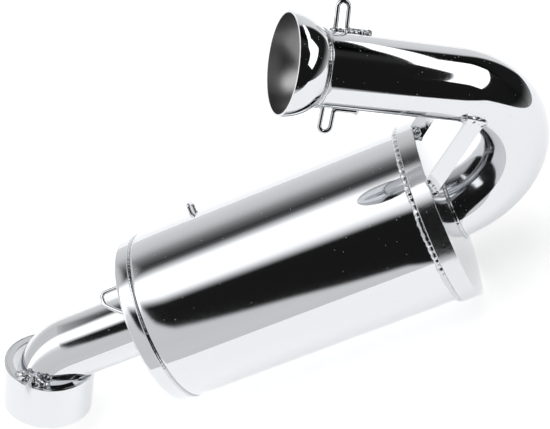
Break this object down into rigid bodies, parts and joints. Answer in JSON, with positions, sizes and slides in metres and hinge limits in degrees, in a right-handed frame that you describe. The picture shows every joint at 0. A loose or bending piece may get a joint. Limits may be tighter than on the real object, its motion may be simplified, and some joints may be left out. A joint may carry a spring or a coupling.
{
  "type": "exhaust muffler",
  "caption": "Chrome-plated welded exhaust silencer with a round can, a U-bend inlet arm with a ball socket and spring loops, and a bent outlet with a wide collar.",
  "frame": {"origin": "middle of the can on its axis", "axes": "+X along the can from the outlet end to the inlet end, +Z towards the side the inlet bend rises to, +Y completes the right-handed frame"},
  "size_m": [0.4595, 0.132, 0.2813],
  "materials": {
    "polished_chrome": "mirror-polished nickel-chrome plate on mild steel",
    "plated_weld": "nickel-chrome plate over a rough weld bead",
    "plated_wire": "nickel-chrome plate on bent wire",
    "raw_inner_steel": "dull bare steel inside the silencer",
    "packing_fibre": "loose glass fibre packing"
  },
  "bodies": {
    "root": {"can_shell": "polished_chrome", "can_seam_weld": "plated_weld", "inlet_cap": "polished_chrome", "inlet_cap_weld": "plated_weld", "inlet_tube": "polished_chrome", "inlet_tube_weld": "plated_weld", "inlet_bell": "polished_chrome", "bell_weld": "plated_weld", "upper_spring_loop": "plated_wire", "lower_spring_loop": "plated_wire", "upper_loop_welds": "plated_weld", "lower_loop_welds": "plated_weld", "left_strap": "polished_chrome", "right_strap": "polished_chrome", "left_strap_welds": "plated_weld", "right_strap_welds": "plated_weld", "outlet_cap": "polished_chrome", "outlet_cap_weld": "plated_weld", "outlet_tube": "polished_chrome", "outlet_tube_weld": "plated_weld", "outlet_collar": "polished_chrome", "collar_top_ring": "polished_chrome", "collar_tack_welds": "plated_weld", "cap_loop": "plated_wire", "can_loop": "plated_wire", "inlet_core": "raw_inner_steel", "inlet_core_plug": "raw_inner_steel", "inlet_baffle": "raw_inner_steel", "transfer_tubes": "raw_inner_steel", "outlet_baffle": "raw_inner_steel", "outlet_core": "raw_inner_steel", "packing_mat": "packing_fibre"}
  },
  "joints": []
}
